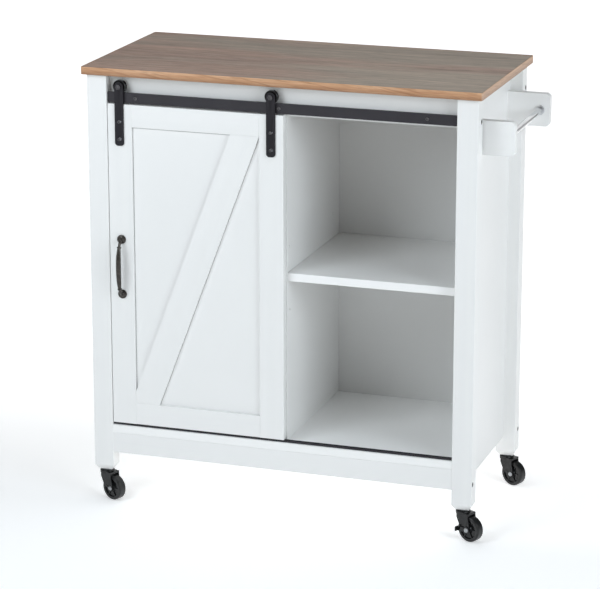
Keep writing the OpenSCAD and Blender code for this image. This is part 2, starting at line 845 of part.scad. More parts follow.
// Angle and thickness of each ring, from a foot to the middle of the grip
bow_half = concat(
    [for (share = [1, 0.8, 0.6, 0.36, 0.16]) [bead_a + share * (foot_a - bead_a), neck_d]],
    [for (share = [1, 0.8, 0.4, 0]) [bead_a + share * bead_half_a, bead_thick(share, neck_d)]],
    [for (share = [0.4, 0.8, 1]) [bead_a - share * bead_half_a, bead_thick(share, grip_end_d)]],
    [for (share = [0.88, 0.66, 0.44, 0.22, 0]) [share * grip_a, grip_thick(share * grip_a)]]
);
bow_rings = concat([for (ring = bow_half) [-ring[0], ring[1]]],
    [for (i = [len(bow_half) - 2 : -1 : 0]) bow_half[i]]);

function bow_ring(a, thick) = let (c = bow_spot(a), w = bow_way(a), r = thick / 2, turn = 4 * foot_a)
    [for (j = [0 : bow_sides - 1]) let (t = turn * j / bow_sides)
        [r * cos(t), c[0] - r * sin(t) * w[1], c[1] + r * sin(t) * w[0]]];

module bow() {
    n = bow_sides;
    last = len(bow_rings) - 1;
    points = [for (ring = bow_rings) each bow_ring(ring[0], ring[1])];
    sides = [for (i = [0 : last - 1], j = [0 : n - 1]) let (a = i * n + j, b = i * n + (j + 1) % n)
        each [[a, b, a + n], [b, b + n, a + n]]];
    caps = [[for (j = [0 : n - 1]) n - 1 - j], [for (j = [0 : n - 1]) last * n + j]];
    polyhedron(points, concat(sides, caps), convexity = 4);
}

// Puts its children at the door's back, with z pointing to the front
module at_pull_screws() {
    for (side = [-1, 1])
        translate([pull_x, door_back, pull_z + side * pull_pitch / 2]) rotate([90, 0, 0]) children();
}

module door_pull() {
    in_place() color(black) translate([pull_x, door_recess, pull_z]) {
        bow();
        for (side = [-1, 1]) translate([0, 0, side * pull_pitch / 2]) rotate([90, 0, 0]) {
            cylinder(d = pull_foot_d, h = pull_foot_h / 2);
            translate([0, 0, pull_foot_h / 2])
                cylinder(r1 = pull_foot_d / 2, r2 = neck_d / 2 + neck_shoulder, h = pull_foot_h / 2);
        }
    }
}

module pull_screws() {
    in_place() color(bright) at_pull_screws() flat_screw(small_screw_d, door_t - snug);
}

// Towel bar: two brackets on the right side panel carry a rod between two collars
bracket_ys = [leg_t + bracket_gap, carcass_d - leg_t - bracket_gap - bracket_t];
rod_x = bracket_end - rod_inset;
rod_z = bracket_z + bracket_h / 2;
bracket_screw_l = board_t + bracket_screw_bite;
bracket_screw_shares = [0.25, 0.75];

// Puts its children at the side panel's inner face, with z pointing out of the cart
module at_bracket_screws() {
    for (y = bracket_ys, share = bracket_screw_shares)
        translate([inner_right, y + bracket_t / 2, bracket_z + share * bracket_h])
            rotate([0, 90, 0]) children();
}

module towel_bracket(y, opens) {
    r = bracket_corner_r;
    w = bracket_end - side_face_right;
    socket_y = opens == 1 ? y + bracket_t - rod_socket : y - over;
    color(paint) difference() {
        translate([side_face_right, y + bracket_t, bracket_z]) rotate([90, 0, 0]) linear_extrude(bracket_t) {
            square([w - r, bracket_h]);
            translate([0, r]) square([w, bracket_h - 2 * r]);
            for (z = [r, bracket_h - r]) translate([w - r, z]) circle(r);
        }
        bar_y([rod_x, socket_y, rod_z], rod_d + 2 * snug, rod_socket + over);
        at_bracket_screws() cylinder(r = small_screw_d / 2 + snug, h = bracket_screw_l + spare);
    }
}

module towel_bracket_front() { in_place() towel_bracket(bracket_ys[0], 1); }
module towel_bracket_back() { in_place() towel_bracket(bracket_ys[1], 0); }

module towel_rod() {
    y0 = bracket_ys[0] + bracket_t - rod_socket + snug;
    in_place() color(bright) bar_y([rod_x, y0, rod_z], rod_d, bracket_ys[1] + rod_socket - snug - y0);
}

module rod_collars() {
    in_place() color(bright) for (y = [bracket_ys[0] + bracket_t, bracket_ys[1] - collar_t]) difference() {
        bar_y([rod_x, y, rod_z], collar_d, collar_t);
        bar_y([rod_x, y - over, rod_z], rod_d + 2 * snug, collar_t + 2 * over);
    }
}

module bracket_screws() {
    in_place() color(bright) at_bracket_screws() flat_screw(small_screw_d, bracket_screw_l);
}

// Casters, drawn at the foot of a leg with the wheel trailing along x
module at_caster(side, end) {
    in_place() translate([caster_xs[side], caster_ys[end], leg_z]) rotate([0, 0, caster_turn]) children();
}

module stem_inserts() {
    color(bright) for (side = [0, 1], end = [0, 1]) at_caster(side, end) difference() {
        cylinder(d = insert_d, h = insert_l);
        translate([0, 0, -over]) cylinder(d = stem_d + 2 * snug, h = insert_l + 2 * over);
    }
}

// A threaded stem, the collar it is tightened by, and the kingpin that holds the fork
module caster_stems() {
    pin_l = stem_collar_t + swivel_gap + crown_t + side_play;
    color(bright) for (side = [0, 1], end = [0, 1]) at_caster(side, end) {
        cylinder(d = stem_d, h = insert_l);
        translate([0, 0, -stem_collar_t]) cylinder(d = stem_collar_d, h = stem_collar_t);
        translate([0, 0, -pin_l]) cylinder(d = kingpin_d, h = pin_l);
        translate([0, 0, -pin_l - kingpin_head_h]) cylinder(d = kingpin_head_d, h = kingpin_head_h);
    }
}

// The crown: a turned plate with an eased edge and the ring of the swivel's race on top
crown_ease = 1;
race_edge = 1.5;
race_gap = 0.7;

module crown() {
    race_in = stem_collar_d / 2 + race_gap;
    race_out = crown_r - race_edge;
    race_top = crown_t + race_h;
    rotate_extrude() polygon([
        [0, 0], [crown_r, 0], [crown_r, crown_t - crown_ease], [crown_r - crown_ease, crown_t],
        [race_out, crown_t], [race_out, race_top], [race_in, race_top], [race_in, crown_t], [0, crown_t]
    ]);
}

// A cheek's outline: from the brim down to the boss round the axle, with a bent back edge.
// The bends lie at two shares of the axle's depth under the leg.
cheek_lap = 1;
cheek_bends = [0.42, 0.8];

module cheek(crown_z, brim) {
    back = cheek_lap - sqrt(max(crown_r * crown_r - fork_w * fork_w / 4, 1));
    rise = boss_r / 4;
    taper = boss_r / 16;
    linear_extrude(cheek_t) {
        polygon([
            [back, crown_z + cheek_lap], [brim, crown_z + cheek_lap], [brim, crown_z - crown_clear],
            [trail + boss_r - taper, rise - axle_drop], [trail - boss_r + taper, -rise - axle_drop],
            [0, -cheek_bends[1] * axle_drop], [back, -cheek_bends[0] * axle_drop]
        ]);
        translate([trail, -axle_drop]) circle(boss_r);
    }
}

// The fork: the crown, a lower brim over the wheel, and two tapering cheeks
module fork(side, end) {
    crown_z = -stem_collar_t - swivel_gap - crown_t;
    brim = trail + brim_over;
    color(black) at_caster(side, end) difference() {
        union() {
            translate([0, 0, crown_z]) crown();
            slab([0, -fork_w / 2, crown_z], [brim, fork_w / 2, crown_z + crown_t - brim_step]);
            for (cheek_y = [-fork_w / 2, fork_w / 2 - cheek_t])
                translate([0, cheek_y + cheek_t, 0]) rotate([90, 0, 0]) cheek(crown_z, brim);
        }
        translate([0, 0, crown_z - over]) cylinder(r = kingpin_d / 2 + run, h = crown_t + 2 * over);
        translate([trail, -fork_w / 2 - over, -axle_drop]) rotate([-90, 0, 0])
            cylinder(r = axle_d / 2 + snug, h = fork_w + 2 * over);
    }
}

module fork_front_left() { fork(0, 0); }
module fork_front_right() { fork(1, 0); }
module fork_back_left() { fork(0, 1); }
module fork_back_right() { fork(1, 1); }

// Half of a wheel's section, from the hub out to the middle of the tread
hub_r = 8;
web_recess = 3;
web_slope = 1.5;
rim_w = 6.5;
tread_recess = 0.4;
tread_r = 3;
rib_sink = 1;
rib_bite = 0.5;

function wheel_half(s) = let (h = wheel_w / 2, r = wheel_d / 2, tread_h = h - tread_recess)
    [[axle_d / 2 + run, s * h], [hub_r, s * h], [hub_r + web_slope, s * (h - web_recess)],
        [r - rim_w - web_slope, s * (h - web_recess)], [r - rim_w, s * tread_h],
        for (a = [0 : 15 : 90]) [r - tread_r + tread_r * sin(a), s * (tread_h - tread_r + tread_r * cos(a))]];

function turned_round(list) = [for (i = [len(list) - 1 : -1 : 0]) list[i]];

// Ribs across the recess of both faces, from the hub to the rim, a little lower than both
module wheel_ribs() {
    start = hub_r - rib_bite;
    length = wheel_d / 2 - rim_w + rib_bite - start;
    height = wheel_w - 2 * rib_sink;
    for (k = [1 : rib_count]) rotate([0, 0, k * 360 / rib_count])
        translate([start, -rib_t / 2, -height / 2]) cube([length, rib_t, height]);
}

module wheel(side, end) {
    color(black) at_caster(side, end) translate([trail, 0, -axle_drop]) rotate([90, 0, 0]) {
        rotate_extrude($fn = 96) polygon(concat(wheel_half(-1), turned_round(wheel_half(1))));
        wheel_ribs();
    }
}

module wheel_front_left() { wheel(0, 0); }
module wheel_front_right() { wheel(1, 0); }
module wheel_back_left() { wheel(0, 1); }
module wheel_back_right() { wheel(1, 1); }

// The axle's near end is longer where a brake lever sits on it
module axle(side, end, braked) {
    near = fork_w / 2 + (braked ? lever_t + 2 * side_play : 0);
    far = fork_w / 2;
    cap_r = axle_cap_d / 2;
    color(bright) at_caster(side, end) translate([trail, 0, -axle_drop]) rotate([90, 0, 0]) {
        translate([0, 0, -far]) cylinder(d = axle_d, h = near + far);
        translate([0, 0, near]) cylinder(r1 = cap_r, r2 = cap_r - axle_cap_ease, h = axle_head_t);
        translate([0, 0, -far - axle_head_t])
            cylinder(r1 = cap_r - axle_cap_ease, r2 = cap_r, h = axle_head_t);
    }
}

module axle_front_left() { axle(0, 0, false); }
module axle_front_right() { axle(1, 0, true); }
module axle_back_left() { axle(0, 1, true); }
module axle_back_right() { axle(1, 1, false); }

// A brake lever turns on the axle, beside the fork's cheek, and ends in a foot tab with ridges
ring_edge = 0.5;
ridge_count = 3;
ridge_w = 1.2;
ridge_h = 0.5;

module brake(side, end) {
    tab_out = fork_w / 2 - cheek_t - cheek_gap;
    ridge_pitch = (tab_out - lever_t) / (ridge_count + 1);
    color(black) at_caster(side, end) translate([trail, -fork_w / 2 - side_play, -axle_drop])
        rotate([90, 0, 0]) difference() {
            union() {
                linear_extrude(lever_t) {
                    circle(boss_r + ring_edge);
                    translate([-lever_reach, -tab_w / 2]) square([lever_reach, tab_w]);
                }
                translate([-lever_reach, -tab_w / 2, 0]) cube([lever_t, tab_w, tab_out]);
                for (k = [1 : ridge_count])
                    translate([-lever_reach - ridge_h, -tab_w / 2, lever_t + k * ridge_pitch - ridge_w / 2])
                        cube([ridge_h + lever_t / 2, tab_w, ridge_w]);
            }
            translate([0, 0, -over]) cylinder(r = axle_d / 2 + run, h = lever_t + 2 * over);
        }
}

module brake_front_right() { brake(1, 0); }
module brake_back_left() { brake(0, 1); }

worktop();
worktop_edging();
leg_front_left();
leg_front_right();
leg_back_left();
leg_back_right();
side_panel_left();
side_panel_right();
back_panel();
floor_board();
partition();
header_rail();
back_top_rail();
front_apron();
back_apron();
open_shelf();
cupboard_shelf();
shelf_pins();
wood_dowels();
frame_screws();
door_track();
track_spacers();
track_bolts();
floor_guide();
towel_bracket_front();
towel_bracket_back();
towel_rod();
rod_collars();
bracket_screws();
stem_inserts();
caster_stems();
door_stile_left();
door_stile_right();
door_top_rail();
door_bottom_rail();
door_brace();
door_panel();
hanger_strap_left();
hanger_strap_right();
strap_screws();
roller_axles();
roller_left();
roller_right();
door_pull();
pull_screws();
guide_pins();
fork_front_left();
fork_front_right();
fork_back_left();
fork_back_right();
wheel_front_left();
wheel_front_right();
wheel_back_left();
wheel_back_right();
axle_front_left();
axle_front_right();
axle_back_left();
axle_back_right();
brake_front_right();
brake_back_left();
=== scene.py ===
import json
import math

import bmesh
import bpy
from mathutils import Matrix, Vector


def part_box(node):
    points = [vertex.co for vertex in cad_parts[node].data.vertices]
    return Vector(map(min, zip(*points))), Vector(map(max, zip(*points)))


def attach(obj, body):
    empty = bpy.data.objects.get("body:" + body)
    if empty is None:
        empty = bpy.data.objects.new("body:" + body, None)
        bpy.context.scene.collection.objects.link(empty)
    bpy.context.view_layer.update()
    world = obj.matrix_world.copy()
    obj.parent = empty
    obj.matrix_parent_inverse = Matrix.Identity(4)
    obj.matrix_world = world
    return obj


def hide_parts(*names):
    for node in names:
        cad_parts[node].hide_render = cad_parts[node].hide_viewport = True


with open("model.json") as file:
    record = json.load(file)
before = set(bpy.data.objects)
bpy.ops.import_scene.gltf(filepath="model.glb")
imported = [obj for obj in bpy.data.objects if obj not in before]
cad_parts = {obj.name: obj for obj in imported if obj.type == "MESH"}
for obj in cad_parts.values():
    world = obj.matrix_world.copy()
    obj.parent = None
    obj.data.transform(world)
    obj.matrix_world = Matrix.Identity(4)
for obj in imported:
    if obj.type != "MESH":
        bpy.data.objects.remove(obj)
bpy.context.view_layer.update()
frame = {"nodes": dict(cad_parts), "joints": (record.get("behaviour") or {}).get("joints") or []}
nodes = frame["nodes"]
joints = {j["name"]: j for j in frame["joints"]}
CORNERS = ("front_left", "front_right", "back_left", "back_right")
MM = 0.001

# Camera. It was solved from the corners of the worktop, legs and shelves in the photograph. It has no shift,
# so that every other view of the object stays framed. PHOTO_WIDTH and focal_px are in pixels, SENSOR_WIDTH is
# in millimetres, angles are in degrees and the rest is in metres.
PHOTO_WIDTH, SENSOR_WIDTH = 600, 36
CAM = {"focal_px": 2719.3, "azimuth": 18.583, "elevation": 15.897, "distance": 5.355,
       "across": -0.0401, "up": -0.0256, "aim_z": 0.4385}


def outward(azimuth, elevation):
    """The way from the object to a camera or a light. Azimuth 0 is in front of it, and 90 on its right."""
    a, e = math.radians(azimuth), math.radians(elevation)
    return Vector((math.sin(a) * math.cos(e), -math.cos(a) * math.cos(e), math.sin(e)))


def add_object(name, data):
    """A new object in the scene, which holds a camera, a light or a mesh."""
    o = bpy.data.objects.new(name, data)
    bpy.context.scene.collection.objects.link(o)
    return o


def make_camera():
    data = bpy.data.cameras.new("photo_camera")
    cam = add_object("photo_camera", data)
    a = math.radians(CAM["azimuth"])
    back = outward(CAM["azimuth"], CAM["elevation"])
    right = Vector((math.cos(a), math.sin(a), 0))
    up = back.cross(right)
    aim = Vector((0, 0, CAM["aim_z"]))
    cam.location = aim + back * CAM["distance"] + right * CAM["across"] + up * CAM["up"]
    cam.rotation_mode = "QUATERNION"
    cam.rotation_quaternion = Matrix((right, up, back)).transposed().to_quaternion()
    data.sensor_width = SENSOR_WIDTH
    data.lens = CAM["focal_px"] / PHOTO_WIDTH * SENSOR_WIDTH
    data.clip_start, data.clip_end = 0.1, 100
    bpy.context.scene.camera = cam


make_camera()

# Sockets of the Mix node in its colour mode.
MIX_FACTOR, MIX_A, MIX_B, MIX_RESULT = 0, 6, 7, 2


class Tree:
    """The node tree of a material or of the world, with short calls for its nodes."""

    def __init__(self, owner):
        owner.use_nodes = True
        self.owner = owner
        self.nodes = owner.node_tree.nodes
        self.links = owner.node_tree.links
        self.shader = next(n for n in self.nodes if n.type in ("BSDF_PRINCIPLED", "BACKGROUND"))
        self.coords = self.nodes.new("ShaderNodeTexCoord")

    def node(self, kind, **inputs):
        n = self.nodes.new(kind)
        for key, value in inputs.items():
            self.feed(n.inputs[key.replace("_", " ")], value)
        return n

    def feed(self, socket, value):
        """Links a socket to another node's output, or sets a plain number, vector or colour on it."""
        if isinstance(value, bpy.types.NodeSocket):
            self.links.new(value, socket)
        else:
            socket.default_value = value

    def tint(self, socket, colour):
        """Feeds a colour socket from another node's output or from (red, green, blue)."""
        self.feed(socket, (*colour, 1) if isinstance(colour, tuple) else colour)

    def noise(self, scale, source=None, turn=(0, 0, 0), detail=3.0, rough=0.5, distortion=0.0):
        """Noise over the object's coordinates in metres, or over source, turned and then scaled. A scale is
        one number, or one for each axis."""
        place = source or self.coords.outputs["Object"]
        if any(turn):
            place = self.node("ShaderNodeMapping", Vector=place, Rotation=turn).outputs["Vector"]
        scales = scale if isinstance(scale, tuple) else (scale, scale, scale)
        place = self.node("ShaderNodeMapping", Vector=place, Scale=scales).outputs["Vector"]
        n = self.node("ShaderNodeTexNoise", Vector=place, Scale=1.0, Detail=detail, Roughness=rough,
                      Distortion=distortion)
        return n.outputs["Fac"]

    def ramp(self, fac, stops, smooth=False):
        """A colour ramp through stops of (place, colour)."""
        n = self.node("ShaderNodeValToRGB", Fac=fac)
        r = n.color_ramp
        if smooth:
            r.interpolation = "EASE"
        while len(r.elements) < len(stops):
            r.elements.new(0.5)
        for element, (place, colour) in zip(r.elements, stops):
            element.position = place
            element.color = (*colour, 1)
        return n.outputs["Color"]

    def grey(self, fac, low, high, at_low=0.0, at_high=1.0, smooth=False):
        """low where fac is at_low, high where it is at_high, a straight or smooth run between, and level
        past them."""
        n = self.node("ShaderNodeMapRange", Value=fac, From_Min=at_low, From_Max=at_high, To_Min=low,
                      To_Max=high)
        if smooth:
            n.interpolation_type = "SMOOTHSTEP"
        return n.outputs["Result"]

    def math(self, kind, a, b=0.0):
        n = self.node("ShaderNodeMath")
        n.operation = kind
        self.feed(n.inputs[0], a)
        self.feed(n.inputs[1], b)
        return n.outputs["Value"]

    def fade(self, value, end, share):
        """value, giving way to end as share goes from 0 to 1."""
        kept = self.math("MULTIPLY", value, self.math("SUBTRACT", 1.0, share))
        return self.math("ADD", kept, self.math("MULTIPLY", share, end))

    def mix(self, fac, a, b, kind="MIX"):
        n = self.node("ShaderNodeMix")
        n.data_type = "RGBA"
        n.blend_type = kind
        self.feed(n.inputs[MIX_FACTOR], fac)
        self.tint(n.inputs[MIX_A], a)
        self.tint(n.inputs[MIX_B], b)
        return n.outputs[MIX_RESULT]

    def vector_math(self, kind, a, b=None):
        n = self.node("ShaderNodeVectorMath")
        n.operation = kind
        self.feed(n.inputs[0], a)
        if b is not None:
            self.feed(n.inputs[1], b)
        return n.outputs["Value" if kind == "LENGTH" else "Vector"]

    def split(self, vector):
        return self.node("ShaderNodeSeparateXYZ", Vector=vector).outputs

    def join(self, x, y, z):
        return self.node("ShaderNodeCombineXYZ", X=x, Y=y, Z=z).outputs["Vector"]

    def bump(self, *layers):
        """Each layer is (height, strength, distance). Later layers sit on earlier ones."""
        normal = None
        for height, strength, distance in layers:
            n = self.node("ShaderNodeBump", Height=height, Strength=strength, Distance=distance)
            if normal is not None:
                self.links.new(normal, n.inputs["Normal"])
            normal = n.outputs["Normal"]
        self.links.new(normal, self.shader.inputs["Normal"])

    def finish(self, colour, rough, metallic=0.0, specular=0.5, coat=0.0, coat_rough=0.1):
        b = self.shader.inputs
        self.tint(b["Base Color"], colour)
        self.feed(b["Roughness"], rough)
        b["Metallic"].default_value = metallic
        b["Specular IOR Level"].default_value = specular
        b["Coat Weight"].default_value = coat
        b["Coat Roughness"].default_value = coat_rough
        return self.owner


# Most of a noise's values lie between these two.
MOST = (0.3, 0.7)

# Paint. Each colour has a slightly dimmer one beside it, and the surface wanders between the two.
PAINT, PAINT_DIM = (0.886, 0.884, 0.872), (0.868, 0.867, 0.857)
# The shelves' whiter paint is painted light, for the light that falls on them from the front and above.
SHELF_LIT, SHELF_LIT_DIM = (0.955, 0.953, 0.942), (0.940, 0.939, 0.928)
BACKING, BACKING_DIM = (0.845, 0.843, 0.830), (0.825, 0.824, 0.812)
GRAIN_SHADE = (0.72, 0.76, 0.78)
# Scale of the wood grain along and across it, and the scale of its broad bands as a share of both.
GRAIN_ALONG, GRAIN_ACROSS, GRAIN_BROAD = 5.0, 210.0, 0.22
# Painted shade: the colour of the dark lines along the door panel's joints, partly an open joint and partly
# the frame's shadow on the panel.
PAINTED_GAP_SHADE = (0.20, 0.205, 0.205)
# The share of its width at which a gap's painted shade starts to fade, and how softly the shade starts,
# in metres.
GAP_FADE, GAP_BLUR = 0.8, 0.0004


def paint_gap_shadows(t, colour, gap_shadows):
    """Paints thin dark lines on the door's panel where the frame stands on it: partly the dark of an open
    joint and partly painted shade, the shadow that the frame casts on the panel. Each gap is (point, way,
    width, depth): a point of the line and the way across it, both as (x, z), then how wide and how dark the
    line is."""
    p = t.split(t.coords.outputs["Object"])
    for point, way, width, depth in gap_shadows:
        by_x = t.math("MULTIPLY", t.math("SUBTRACT", p["X"], point[0]), way[0])
        by_z = t.math("MULTIPLY", t.math("SUBTRACT", p["Z"], point[1]), way[1])
        away = t.math("ADD", by_x, by_z)
        fading = t.grey(away, depth, 0.0, width * GAP_FADE, width)
        band = t.math("MULTIPLY", fading, t.grey(away, 0, 1, -GAP_BLUR, 0))
        # Painted shade: each line darkens the panel, standing for an open joint and the frame's shadow.
        colour = t.mix(band, colour, PAINTED_GAP_SHADE)
    return colour


def paint(name, grain=None, turn=0.0, gap_shadows=(), bright=PAINT, dim=PAINT_DIM):
    """Satin white lacquer. grain is the axis along which wood grain shows through, or None on smooth board,
    and turn tilts that axis in the plane of the door, in radians."""
    t = Tree(bpy.data.materials.new(name))
    peel = t.noise(620, detail=2, rough=0.45)
    if grain is None:
        cloud = t.noise(3.1, detail=2)
        veil = t.noise(38, detail=4, rough=0.6)
        colour = t.mix(t.grey(cloud, 0, 1, 0.35, 0.65), bright, dim)
        colour = paint_gap_shadows(t, colour, gap_shadows)
        rough = t.grey(veil, 0.33, 0.43, *MOST)
        t.bump((veil, 0.05, 0.0006), (peel, 0.10, 0.00018))
    else:
        scale = tuple(GRAIN_ALONG if axis == grain else GRAIN_ACROSS for axis in range(3))
        wide = tuple(v * GRAIN_BROAD for v in scale)
        fibre = t.noise(scale, turn=(0, turn, 0), detail=5, rough=0.62, distortion=0.35)
        broad = t.noise(wide, turn=(0, turn, 0), detail=2, distortion=0.5)
        colour = t.mix(t.grey(broad, 0, 1, *MOST), bright, dim)
        colour = t.mix(t.grey(fibre, 0.0, 0.16, 0.62, 0.8), colour, GRAIN_SHADE)
        rough = t.grey(fibre, 0.34, 0.46, *MOST)
        t.bump((broad, 0.08, 0.0009), (fibre, 0.16, 0.00035), (peel, 0.06, 0.00015))
    return t.finish(colour, rough, specular=0.45, coat=0.12, coat_rough=0.22)


def raw_board(name):
    """The thin back panel: printed white on smooth fibreboard."""
    t = Tree(bpy.data.materials.new(name))
    fibre = t.noise(240, detail=5, rough=0.7)
    cloud = t.noise(2.3, detail=2)
    colour = t.mix(t.grey(cloud, 0, 1, *MOST), BACKING, BACKING_DIM)
    t.bump((fibre, 0.12, 0.00022))
    return t.finish(colour, t.grey(fibre, 0.42, 0.55, *MOST), specular=0.4)


# Oak. Scales of its bands, rings, fibres and pores, each along and across the grain.
FACE_SCALES = {"broad": (1.5, 26), "rings": (2.6, 62), "fibre": (9.0, 420), "pores": (34, 1150)}
EDGE_SCALES = {"broad": (5.0, 120), "rings": (9.0, 300), "fibre": (14.0, 900), "pores": (40, 1700)}
FACE_SWAY, EDGE_SWAY = 0.018, 0.004
FACE_BROWN, FACE_GREEN = (0.480, 0.306, 0.230), (0.461, 0.364, 0.280)
FACE_PALE, FACE_DARK = (0.76, 0.61, 0.51), (0.185, 0.142, 0.112)
FACE_FIBRE, FACE_PORE = (0.74, 0.59, 0.48), (0.15, 0.115, 0.09)
UNDERSIDE = (0.22, 0.175, 0.13)
EDGE_RINGS = [(0.25, (0.33, 0.150, 0.070)), (0.42, (0.51, 0.272, 0.145)), (0.58, (0.61, 0.355, 0.205)),
              (0.75, (0.70, 0.46, 0.292))]
EDGE_BAND, EDGE_STREAK = (0.52, 0.285, 0.143), (0.33, 0.15, 0.066)
EDGE_FIBRE, EDGE_PORE, EDGE_END = (0.34, 0.16, 0.075), (0.19, 0.095, 0.048), (0.66, 0.57, 0.50)
# Painted light and shade: the edging darkens towards its lower edge and brightens towards its upper one,
# as light from above falls on it.
EDGE_PAINTED_LIGHT = [(0.0, (0.62, 0.60, 0.60)), (0.30, (0.82, 0.79, 0.78)), (0.62, (1.0, 0.98, 0.97)),
             (0.92, (1.14, 1.20, 1.26))]
# On the two ends of the cart, this shift keeps the edging's grain from running on round the corner.
EDGE_SHIFT = 3.7
STREAK_SLANT = 0.16


def oak_layers(t, base, sway, scales):
    """The wood's noises over base, whose x runs along the grain, all bent by one slow sway across it."""
    wave = t.noise((2.2, 5.0, 2.0), base, detail=2)
    b = t.split(base)
    bent = t.join(b["X"], t.math("ADD", b["Y"], t.grey(wave, -sway, sway)), b["Z"])
    broad = t.noise((*scales["broad"], 1.0), bent, detail=3, rough=0.55)
    rings = t.noise((*scales["rings"], 1.0), bent, detail=4, rough=0.6, distortion=0.6)
    fibre = t.noise((*scales["fibre"], 1.0), bent, detail=4, rough=0.7)
    pores = t.noise((*scales["pores"], 1.0), bent, detail=1, rough=0.4)
    return bent, broad, rings, fibre, t.grey(pores, 0, 1, 0.60, 0.70)


def oak_top(name):
    """The worktop: weathered grey-brown oak with its grain along x."""
    t = Tree(bpy.data.materials.new(name))
    p = t.split(t.coords.outputs["Object"])
    base = t.join(p["X"], p["Y"], t.math("MULTIPLY", p["Z"], 0.4))
    bent, broad, rings, fibre, pore = oak_layers(t, base, FACE_SWAY, FACE_SCALES)
    # Brown and grey-green patches, the rings' light and dark, then short pale and dark streaks.
    patch = t.noise((1.4, 9.0, 1.0), bent, detail=2, rough=0.5)
    patch = t.math("ADD", patch, t.grey(p["X"], -0.05, 0.05, -0.3, 0.3))
    colour = t.mix(t.grey(patch, 0, 1, 0.42, 0.60), FACE_BROWN, FACE_GREEN)
    value = t.math("MULTIPLY", t.grey(rings, 0.76, 1.20, 0.28, 0.72), t.grey(broad, 0.86, 1.12, *MOST))
    colour = t.mix(1.0, colour, value, "MULTIPLY")
    streak = t.noise((19, 300, 1.0), bent, detail=2, rough=0.55, distortion=0.5)
    colour = t.mix(t.grey(streak, 0.0, 0.55, 0.55, 0.76), colour, FACE_PALE)
    colour = t.mix(t.grey(streak, 0.50, 0.0, 0.26, 0.44), colour, FACE_DARK)
    colour = t.mix(t.grey(fibre, 0.0, 0.35, 0.5, 0.85), colour, FACE_FIBRE)
    colour = t.mix(t.math("MULTIPLY", pore, 0.5), colour, FACE_PORE)
    # The underside is a plain backing sheet.
    under = t.math("LESS_THAN", t.split(t.coords.outputs["Normal"])["Z"], -0.5)
    colour = t.mix(under, colour, UNDERSIDE)
    t.bump((broad, 0.05, 0.0008), (fibre, 0.22, 0.00030), (pore, -0.22, 0.00030))
    return t.finish(colour, t.grey(fibre, 0.46, 0.62, *MOST), specular=0.38)


def oak_strip(name):
    """The worktop's edging: warm oak with its grain along each edge."""
    t = Tree(bpy.data.materials.new(name))
    p = t.split(t.coords.outputs["Object"])
    n = t.split(t.coords.outputs["Normal"])
    on_end = t.math("GREATER_THAN", t.math("ABSOLUTE", n["X"]), 0.7)
    along_y = t.math("MULTIPLY", p["Y"], on_end)
    along_x = t.math("MULTIPLY", p["X"], t.math("SUBTRACT", 1.0, on_end))
    along = t.math("ADD", along_y, along_x)
    across = t.math("ADD", p["Z"], t.math("MULTIPLY", on_end, EDGE_SHIFT))
    base = t.join(along, across, 0.0)
    bent, broad, rings, fibre, pore = oak_layers(t, base, EDGE_SWAY, EDGE_SCALES)
    colour = t.ramp(rings, EDGE_RINGS, smooth=True)
    colour = t.mix(t.grey(broad, 0.0, 0.55, 0.35, 0.7), colour, EDGE_BAND)
    slant = t.join(along, t.math("ADD", across, t.math("MULTIPLY", along, STREAK_SLANT)), 0.0)
    streak = t.noise((16, 230, 1.0), slant, detail=2, rough=0.5, distortion=0.4)
    colour = t.mix(t.grey(streak, 0.0, 0.6, 0.5, 0.68), colour, EDGE_STREAK)
    colour = t.mix(t.grey(fibre, 0.0, 0.30, 0.55, 0.8), colour, EDGE_FIBRE)
    colour = t.mix(t.math("MULTIPLY", pore, 0.45), colour, EDGE_PORE)
    # Painted light and shade on the edging: darker low down, lighter high up.
    low, high = (corner.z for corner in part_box("worktop_edging"))
    painted_light = t.ramp(t.grey(p["Z"], 0, 1, low, high), EDGE_PAINTED_LIGHT)
    colour = t.mix(1.0, colour, painted_light, "MULTIPLY")
    colour = t.mix(t.math("MULTIPLY", on_end, 0.30), colour, EDGE_END)
    t.bump((fibre, 0.12, 0.0002), (pore, -0.10, 0.0002))
    return t.finish(colour, t.grey(fibre, 0.42, 0.56, *MOST), specular=0.42)


def beech(name):
    """Pale beech with its grain along z and short dark flecks."""
    t = Tree(bpy.data.materials.new(name))
    fibre = t.noise((500, 500, 16), detail=4, rough=0.6)
    flecks = t.noise((900, 900, 160), detail=1)
    colour = t.ramp(fibre, [(0.3, (0.50, 0.33, 0.19)), (0.7, (0.70, 0.52, 0.34))])
    colour = t.mix(t.grey(flecks, 0.0, 0.5, 0.62, 0.7), colour, (0.36, 0.22, 0.12))
    t.bump((fibre, 0.2, 0.0002))
    return t.finish(colour, t.grey(fibre, 0.55, 0.7), specular=0.35)


# Metals and plastics.
# The powder coat's paler specks are painted highlights on its grain.
COAT_DEEP, COAT_PALE, COAT_GLINT = (0.0165, 0.0140, 0.0190), (0.0235, 0.0205, 0.0265), (0.046, 0.042, 0.050)
OXIDE_DEEP, OXIDE_PALE = (0.10, 0.098, 0.106), (0.19, 0.187, 0.195)
BRONZE = [(0.3, (0.030, 0.026, 0.024)), (0.55, (0.060, 0.052, 0.046)), (0.8, (0.11, 0.088, 0.07))]
PLASTIC_DEEP, PLASTIC_PALE = (0.0050, 0.0050, 0.0055), (0.0095, 0.0095, 0.0100)
HUB_DEEP, HUB_PALE = (0.0045, 0.0045, 0.005), (0.0090, 0.0090, 0.0095)
TREAD_DEEP, TREAD_PALE = (0.0095, 0.0095, 0.0100), (0.022, 0.021, 0.0205)
